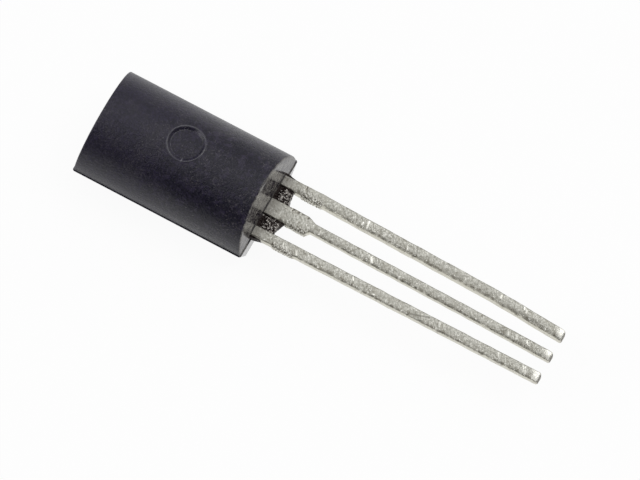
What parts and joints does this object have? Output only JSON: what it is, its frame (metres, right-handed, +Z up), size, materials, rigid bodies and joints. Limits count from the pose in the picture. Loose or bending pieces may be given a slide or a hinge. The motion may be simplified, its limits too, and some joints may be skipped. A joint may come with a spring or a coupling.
{
  "type": "long-body to-92 transistor",
  "caption": "Through-hole transistor: black D-shaped moulded body on its flat side, with parallel tinned leads out of one end, for switching or amplifying a current.",
  "frame": {"origin": "middle of the flat face that the body lies on, at the middle of the body's length", "axes": "+X along the leads towards their tips, +Z up through the round side, +Y to the emitter lead's side"},
  "size_m": [0.0214, 0.005, 0.0039],
  "materials": {
    "mould_compound": "satin moulded epoxy",
    "tinned_lead": "tin-plated copper alloy, scuffed",
    "silicon": "polished",
    "solder": "dull",
    "bond_wire": "drawn gold-coloured wire"
  },
  "bodies": {
    "root": {"molded_body": "mould_compound", "emitter_lead": "tinned_lead", "collector_lead": "tinned_lead", "base_lead": "tinned_lead", "silicon_die": "silicon", "die_attach": "solder", "emitter_bond_wire": "bond_wire", "base_bond_wire": "bond_wire"}
  },
  "joints": []
}
